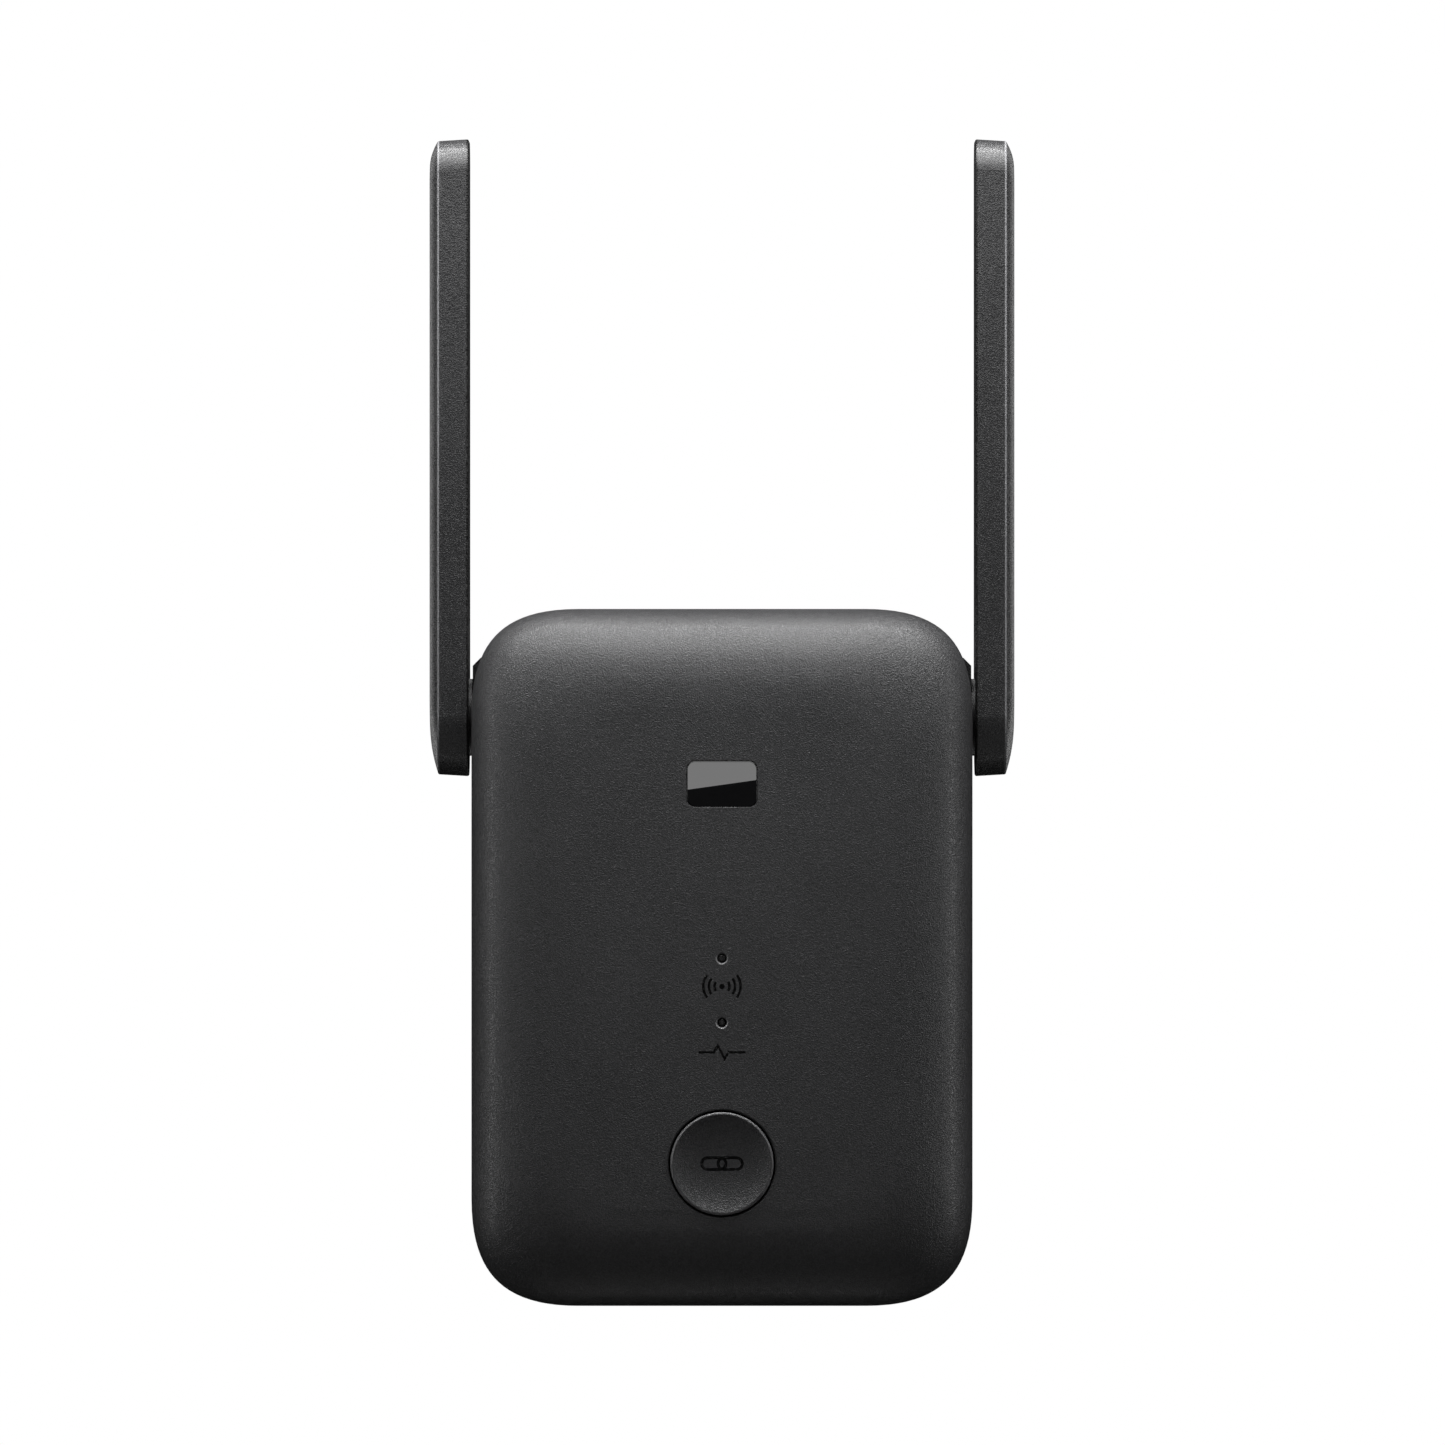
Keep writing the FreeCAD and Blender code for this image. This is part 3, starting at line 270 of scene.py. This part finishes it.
def metal(name, colour, rough=0.28, brush=0.08 * MM):
    """Plated or stamped metal with fine drawn lines, dull patches and bright edges."""
    f = Finish(name)
    stretch = f.add("ShaderNodeMapping", None, {"Vector": f.place, "Scale": (1.0, 1.0, 0.06)})
    inputs = {"Vector": stretch.outputs[0], "Scale": 1 / brush, "Detail": 3.0}
    lines = f.add("ShaderNodeTexNoise", None, inputs).outputs["Fac"]
    patches = f.noise(2.5 * MM, 4.0)
    base = f.blend(f.spread(patches, 0.35, 0.7, 0.0, 1.0), colour, tinted(colour, 0.82))
    base = f.blend(f.maths("MULTIPLY", f.edges(0.1 * MM), 0.5), base, tinted(colour, 1.25))
    drawn = f.spread(lines, 0.3, 0.7, rough - 0.07, rough + 0.07)
    roughness = f.maths("ADD", drawn, f.maths("MULTIPLY", patches, 0.08))
    f.set(Base_Color=base, Metallic=1.0, Roughness=roughness, Normal=f.bump(lines, 0.0015 * MM))
    return f


def board(name, mask, track):
    """Circuit laminate: solder mask over a woven base, with faint tracks showing through."""
    f = Finish(name)
    x, _, z = f.axes()
    warp = f.maths("SINE", f.maths("DIVIDE", x, THREAD))
    weft = f.maths("SINE", f.maths("DIVIDE", z, THREAD))
    weave = f.maths("MULTIPLY", warp, weft)
    step = 1.3 * MM
    cell_x = f.maths("FLOOR", f.maths("DIVIDE", x, step))
    cell_z = f.maths("FLOOR", f.maths("DIVIDE", z, step * 3))
    cell = f.add("ShaderNodeCombineXYZ", None, {0: cell_x, 2: cell_z}).outputs[0]
    chance = f.add("ShaderNodeTexWhiteNoise", None, {"Vector": cell}).outputs["Value"]
    across = f.maths("PINGPONG", x, step / 2)
    near = f.maths("GREATER_THAN", across, step * 0.32)
    line = f.maths("MULTIPLY", near, f.maths("GREATER_THAN", chance, 0.45))
    base = f.blend(f.maths("MULTIPLY", line, 0.6), mask, track)
    base = f.blend(f.spread(weave, -1.0, 1.0, 0.0, 0.12), base, tinted(mask, 0.5))
    height = f.maths("ADD", f.maths("MULTIPLY", line, 0.8), f.maths("MULTIPLY", weave, 0.2))
    f.set(Base_Color=base, Roughness=f.spread(f.noise(1 * MM), 0.3, 0.7, 0.28, 0.42))
    return f.set(Normal=f.bump(height, 0.02 * MM))


def wound(name, colour, pitch=0.7 * MM):
    """Tape wound round a coil: overlapping turns with shiny, slightly lifted rims."""
    f = Finish(name)
    _, y, _ = f.axes()
    wander = f.maths("MULTIPLY", f.noise(4 * MM), 0.2 * MM)
    turn = f.maths("PINGPONG", f.maths("ADD", y, wander), pitch)
    base = f.blend(f.spread(turn, 0.0, pitch, 0.0, 0.5), colour, tinted(colour, 0.7))
    f.set(Base_Color=base, Roughness=f.spread(f.noise(0.6 * MM), 0.3, 0.7, 0.22, 0.4))
    return f.set(Normal=f.bump(turn, 0.4))


def rubbery(name, colour, rough=0.6):
    """Soft jacket or shrink sleeve with a dusty bloom."""
    f = Finish(name)
    dust = f.noise(0.35 * MM, 5.0, 0.65)
    base = f.blend(f.spread(dust, 0.5, 0.8, 0.0, 0.35), colour, tinted(colour, 1.9))
    f.set(Base_Color=base, Roughness=f.spread(dust, 0.3, 0.7, rough - 0.08, rough + 0.1))
    return f.set(Normal=f.bump(dust, 0.01 * MM))


def sintered(name, colour):
    """Pressed ferrite: dark, speckled and faintly porous."""
    f = Finish(name)
    grains = f.cells(0.12 * MM)
    base = f.blend(f.spread(grains, 0.2, 0.7, 0.0, 1.0), tinted(colour, 1.4), tinted(colour, 0.7))
    f.set(Base_Color=base, Metallic=0.3, Roughness=f.spread(grains, 0.2, 0.7, 0.35, 0.6))
    return f.set(Normal=f.bump(grains, 0.01 * MM))


def clear_pipe(name):
    """Smoky clear rod that carries a light's glow to the surface."""
    f = Finish(name)
    haze = f.noise(0.4 * MM, 3.0)
    base = f.blend(f.spread(haze, 0.3, 0.7, 0.0, 1.0), (0.034, 0.034, 0.035), (0.044, 0.044, 0.045))
    f.set(Base_Color=base, Roughness=f.spread(haze, 0.3, 0.7, 0.15, 0.3), Normal=f.bump(haze, 0.004 * MM))
    f.shader.inputs["Transmission Weight"].default_value = 0.1
    return f


# ---- marks printed on the front, drawn as shapes in the plane of the face ----

def signal_mark(f, x, z):
    """A dot with three arcs on each side."""
    far = f.distance(x, z)
    mark = f.maths("LESS_THAN", far, DOT_RADIUS)
    sideways = f.maths("MULTIPLY", f.maths("ABSOLUTE", x), ARC_STEEPNESS)
    band = f.maths("LESS_THAN", f.maths("ABSOLUTE", z), sideways)
    for radius in ARC_RADII:
        ring = f.within(far, radius, ARC_HALF_WIDTH)
        mark = f.maths("MAXIMUM", mark, f.maths("MULTIPLY", ring, band))
    return mark


def system_mark(f, x, z):
    """A level line with one pulse in it."""
    half = PULSE_HALF * MM
    ramp = f.add("ShaderNodeValToRGB", None, {"Fac": f.spread(x, -half, half, 0.0, 1.0)})
    stops = ramp.color_ramp.elements
    while len(stops) < len(PULSE_BENDS):
        stops.new(0.5)
    for stop, (at, height) in zip(stops, PULSE_BENDS):
        stop.position = (at + PULSE_HALF) / (2 * PULSE_HALF)
        level = (height + 1.0) / 2.0
        stop.color = (level, level, level, 1.0)
    line = f.spread(ramp.outputs["Color"], 0.0, 1.0, -1.0 * MM, 1.0 * MM)
    # the reach is up and down, so the steep stretches need more of it
    steep = f.within(x, PULSE_MIDDLE, PULSE_STEEP_HALF)
    reach = f.maths("ADD", LINE_HALF_WIDTH, f.maths("MULTIPLY", steep, 0.2 * MM))
    mark = f.within(z, line, reach)
    return f.maths("MULTIPLY", mark, f.maths("LESS_THAN", f.maths("ABSOLUTE", x), half))


def link_mark(f, x, z):
    """Two chain links that overlap."""
    mark = 0.0
    for middle in (-LINK_OFFSET, LINK_OFFSET):
        past_straight = f.maths("SUBTRACT", f.gap(x, middle), LINK_STRAIGHT_HALF)
        along = f.maths("MAXIMUM", past_straight, 0.0)
        ring = f.within(f.distance(along, z), LINK_RADIUS, LINK_HALF_WIDTH)
        mark = f.maths("MAXIMUM", mark, ring)
    return mark


def print_on(f, marks):
    """Adds near-black pad printing to a finished plastic. marks is (drawing, height) pairs."""
    x, y, z = f.axes()
    ink = 0.0
    for drawing, height in marks:
        ink = f.maths("MAXIMUM", ink, drawing(f, x, f.maths("SUBTRACT", z, height)))
    ink = f.maths("MULTIPLY", ink, f.maths("LESS_THAN", y, INK_PLANE))
    return f.overlay(ink, PRINT_BLACK, 0.25)


def paint_rim_highlights(f, heights, radius, width, pale):
    """Paints highlights on the rings of this radius at these heights on the front's middle line."""
    x, y, z = f.axes()
    rim_highlights = 0.0
    for height in heights:
        far = f.distance(x, f.maths("SUBTRACT", z, height))
        rim_highlights = f.maths("MAXIMUM", rim_highlights, f.within(far, radius, width / 2))
    rim_highlights = f.maths("MULTIPLY", rim_highlights, f.maths("LESS_THAN", y, RIM_PLANE))
    # the rings are painted paler than the case, a painted highlight on each rim
    return f.overlay(rim_highlights, tinted(CASE_BLACK, pale), 0.15)


def gloss_inlay():
    """Lacquered inlay, level enough to show clear reflections."""
    f = Finish("gloss_black")
    haze = f.noise(1.5 * MM, 3.0)
    base = f.blend(haze, tinted(GLOSS_BLACK, 0.8), tinted(GLOSS_BLACK, 1.2))
    f.set(Base_Color=base, Roughness=f.spread(haze, 0.3, 0.7, 0.001, 0.004))
    f.set(Normal=f.add("ShaderNodeNewGeometry").outputs["True Normal"])
    f.shader.inputs["Coat Weight"].default_value = 0.6
    f.shader.inputs["Coat Roughness"].default_value = 0.002
    return f


FINISHES = {
    "case_black": lambda: moulded("case_black", CASE_BLACK),
    "gloss_black": gloss_inlay,
    "label_grey": lambda: smooth_plastic("label_grey", (0.10, 0.10, 0.105), 0.4),
    "nickel": lambda: metal("nickel", NICKEL, 0.2),
    "sleeve_black": lambda: smooth_plastic("sleeve_black", (0.02, 0.02, 0.02), 0.4),
    "brass": lambda: metal("brass", BRASS),
    "switch_black": lambda: smooth_plastic("switch_black", (0.02, 0.02, 0.02), 0.4),
    "switch_white": lambda: smooth_plastic("switch_white", (0.72, 0.72, 0.69), 0.4),
    "light_pipe": lambda: clear_pipe("light_pipe"),
    "led_white": lambda: smooth_plastic("led_white", (0.80, 0.78, 0.60), 0.3),
    "board_green": lambda: board("board_green", (0.015, 0.13, 0.05), (0.05, 0.26, 0.10)),
    "board_brown": lambda: board("board_brown", (0.30, 0.18, 0.07), (0.36, 0.24, 0.11)),
    "chip_black": lambda: sintered("chip_black", (0.025, 0.025, 0.026)),
    "thermal_grey": lambda: rubbery("thermal_grey", (0.42, 0.44, 0.47)),
    "aluminium": lambda: metal("aluminium", (0.78, 0.79, 0.80), 0.33),
    "tinned_steel": lambda: metal("tinned_steel", (0.70, 0.70, 0.69), 0.25),
    "gold": lambda: metal("gold", (0.90, 0.66, 0.28), 0.2),
    "can_sleeve": lambda: smooth_plastic("can_sleeve", (0.03, 0.03, 0.05), 0.25),
    "ferrite": lambda: sintered("ferrite", (0.05, 0.05, 0.055)),
    "tape_yellow": lambda: wound("tape_yellow", (0.72, 0.52, 0.05)),
    "fuse_brown": lambda: smooth_plastic("fuse_brown", (0.16, 0.07, 0.03), 0.35),
    "cap_yellow": lambda: smooth_plastic("cap_yellow", (0.70, 0.50, 0.05), 0.35),
    "cap_blue": lambda: smooth_plastic("cap_blue", (0.04, 0.17, 0.45), 0.3),
    "shrink_black": lambda: rubbery("shrink_black", (0.02, 0.02, 0.02)),
    "sheet_white": lambda: smooth_plastic("sheet_white", (0.75, 0.75, 0.72), 0.3),
    "steel": lambda: metal("steel", STEEL),
    "hinge_black": lambda: moulded("hinge_black", (0.022, 0.022, 0.023), 0.4 * MM, 0.008 * MM, 0.5),
    "coax_black": lambda: rubbery("coax_black", (0.03, 0.03, 0.03), 0.5),
}


def dress(frame):
    """Gives every CAD node the finish of its slot; the printed pieces get their own."""
    made = {}
    for entry in frame["record"]["subparts"]:
        slot = entry["material_slot"]
        if slot not in made:
            made[slot] = FINISHES[slot]().material
        node = frame["nodes"][entry["node"]]
        node.data.materials.clear()
        node.data.materials.append(made[slot])
    front_marks = [(signal_mark, SIGNAL_MARK_Z), (system_mark, SYSTEM_MARK_Z)]
    front = print_on(ease_bend(moulded("front_black", CASE_BLACK)), front_marks)
    button = print_on(moulded("button_black", CASE_BLACK), [(link_mark, BUTTON_MARK_Z)])
    special = {
        # painted highlights on the rims of the light holes and the button
        "front_cover": paint_rim_highlights(front, LIGHT_Z, *LIGHT_RIM_HIGHLIGHT),
        "button_cap": paint_rim_highlights(button, [BUTTON_MARK_Z], *BUTTON_RIM_HIGHLIGHT),
    }
    antenna = antenna_plastic()
    for side in ("left", "right"):
        special[side + "_antenna_shell"] = antenna
        special[side + "_antenna_cover"] = antenna
    for node, finish in special.items():
        frame["nodes"][node].data.materials.clear()
        frame["nodes"][node].data.materials.append(finish.material)


def look_at(obj, target):
    obj.rotation_mode = "QUATERNION"
    obj.rotation_quaternion = (target - obj.location).to_track_quat("-Z", "Y")


def area_light(name, place, target, width, height, power):
    data = bpy.data.lights.new(name, "AREA")
    data.shape = "RECTANGLE"
    data.size = width
    data.size_y = height
    data.energy = power
    light = bpy.data.objects.new(name, data)
    bpy.context.scene.collection.objects.link(light)
    light.location = Vector(place)
    light.visible_camera = False
    look_at(light, Vector(target))
    return light


def shine_only_on(light, objects):
    group = bpy.data.collections.new(light.name + "_receives")
    for obj in objects:
        group.objects.link(obj)
    light.light_linking.receiver_collection = group


def mirrored(point, sign):
    return (point[0] * sign, point[1], point[2])


def light_scene(nodes):
    """Sets up the panels. The case and the blades are lit apart, so each keeps its own highlights."""
    blades = {}
    for side in ("left", "right"):
        blades[side] = [nodes[side + "_antenna_shell"], nodes[side + "_antenna_cover"]]
    both = blades["left"] + blades["right"]
    case = [node for node in nodes.values() if node not in both]
    rear = [node for node in case if node != nodes["front_cover"]]
    groups = {"case": case, "rear": rear, "blades": both}
    for name, place, target, width, height, power, group in PANELS:
        light = area_light(name, place, target, width, height, power)
        if group != "all":
            shine_only_on(light, groups[group])
    for side, sign in (("left", -1), ("right", 1)):
        groups["blades"] = blades[side]
        for name, place, target, width, height, power, group in SIDE_PANELS:
            name = side + "_" + name
            light = area_light(name, mirrored(place, sign), mirrored(target, sign), width, height, power)
            shine_only_on(light, groups[group])


def inlay_card():
    """A small card just behind the camera, for the glossy inlay to reflect."""
    card = area_light("card", CARD_PLACE, (CARD_PLACE[0], 0, CARD_PLACE[2]), *CARD_SIZE, CARD_POWER)
    tilt = Quaternion((0, 1, 0), -CARD_TILT)
    card.rotation_quaternion = tilt @ card.rotation_quaternion


def backdrop():
    """White to the camera; for everything else dark below and dimly lit above."""
    world = bpy.data.worlds.new("studio")
    bpy.context.scene.world = world
    world.use_nodes = True
    tree = world.node_tree
    tree.nodes.clear()
    seen = tree.nodes.new("ShaderNodeBackground")
    seen.inputs["Color"].default_value = (1, 1, 1, 1)
    seen.inputs["Strength"].default_value = 1.0
    lit = tree.nodes.new("ShaderNodeBackground")
    place = tree.nodes.new("ShaderNodeTexCoord")
    split = tree.nodes.new("ShaderNodeSeparateXYZ")
    rise = tree.nodes.new("ShaderNodeMapRange")
    rise.inputs["To Min"].default_value = DIM_BELOW
    rise.inputs["To Max"].default_value = DIM_ABOVE
    tree.links.new(place.outputs["Generated"], split.inputs[0])
    tree.links.new(split.outputs[2], rise.inputs["Value"])
    tree.links.new(rise.outputs[0], lit.inputs["Strength"])
    path = tree.nodes.new("ShaderNodeLightPath")
    mix = tree.nodes.new("ShaderNodeMixShader")
    out = tree.nodes.new("ShaderNodeOutputWorld")
    tree.links.new(path.outputs["Is Camera Ray"], mix.inputs[0])
    tree.links.new(lit.outputs[0], mix.inputs[1])
    tree.links.new(seen.outputs[0], mix.inputs[2])
    tree.links.new(mix.outputs[0], out.inputs[0])


def floor():
    """A plain pale sheet far below the piece."""
    corners_round = ((-1, -1), (1, -1), (1, 1), (-1, 1))
    sheet = [(x * FLOOR_HALF, y * FLOOR_HALF, FLOOR_Z) for x, y in corners_round]
    mesh = bpy.data.meshes.new("floor")
    mesh.from_pydata(sheet, [], [range(4)])
    obj = bpy.data.objects.new("floor", mesh)
    bpy.context.scene.collection.objects.link(obj)
    f = Finish("floor_paper")
    base = f.blend(f.spread(f.noise(2 * MM), 0.3, 0.7, 0.0, 1.0), (0.80, 0.80, 0.80), (0.84, 0.84, 0.84))
    f.set(Base_Color=base, Roughness=0.9)
    mesh.materials.append(f.material)
    width = 2 * FLOOR_HALF
    place = (0, 0, FLOOR_Z + FLOOR_LIGHT_RISE)
    light = area_light("floor_light", place, (0, 0, FLOOR_Z), width, width, FLOOR_LIGHT_POWER)
    shine_only_on(light, [obj])


def camera():
    data = bpy.data.cameras.new("camera")
    data.sensor_width = SENSOR
    data.lens = SENSOR * VIEW_DISTANCE / VIEW_WIDTH
    data.clip_start = 0.1
    data.clip_end = 20.0
    obj = bpy.data.objects.new("camera", data)
    bpy.context.scene.collection.objects.link(obj)
    obj.location = VIEW_CENTRE + Vector((0, -VIEW_DISTANCE, 0))
    look_at(obj, VIEW_CENTRE)
    bpy.context.scene.camera = obj


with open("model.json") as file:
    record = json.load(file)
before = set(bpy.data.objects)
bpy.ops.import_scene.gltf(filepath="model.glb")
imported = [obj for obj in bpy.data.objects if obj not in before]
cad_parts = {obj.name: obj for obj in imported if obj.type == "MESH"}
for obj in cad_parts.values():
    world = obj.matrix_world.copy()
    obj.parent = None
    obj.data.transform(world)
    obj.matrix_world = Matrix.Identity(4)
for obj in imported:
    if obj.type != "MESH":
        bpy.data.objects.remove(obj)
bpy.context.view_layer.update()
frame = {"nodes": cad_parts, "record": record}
dress(frame)
backdrop()
light_scene(frame["nodes"])
inlay_card()
floor()
camera()
bpy.context.scene.view_settings.view_transform = "Standard"
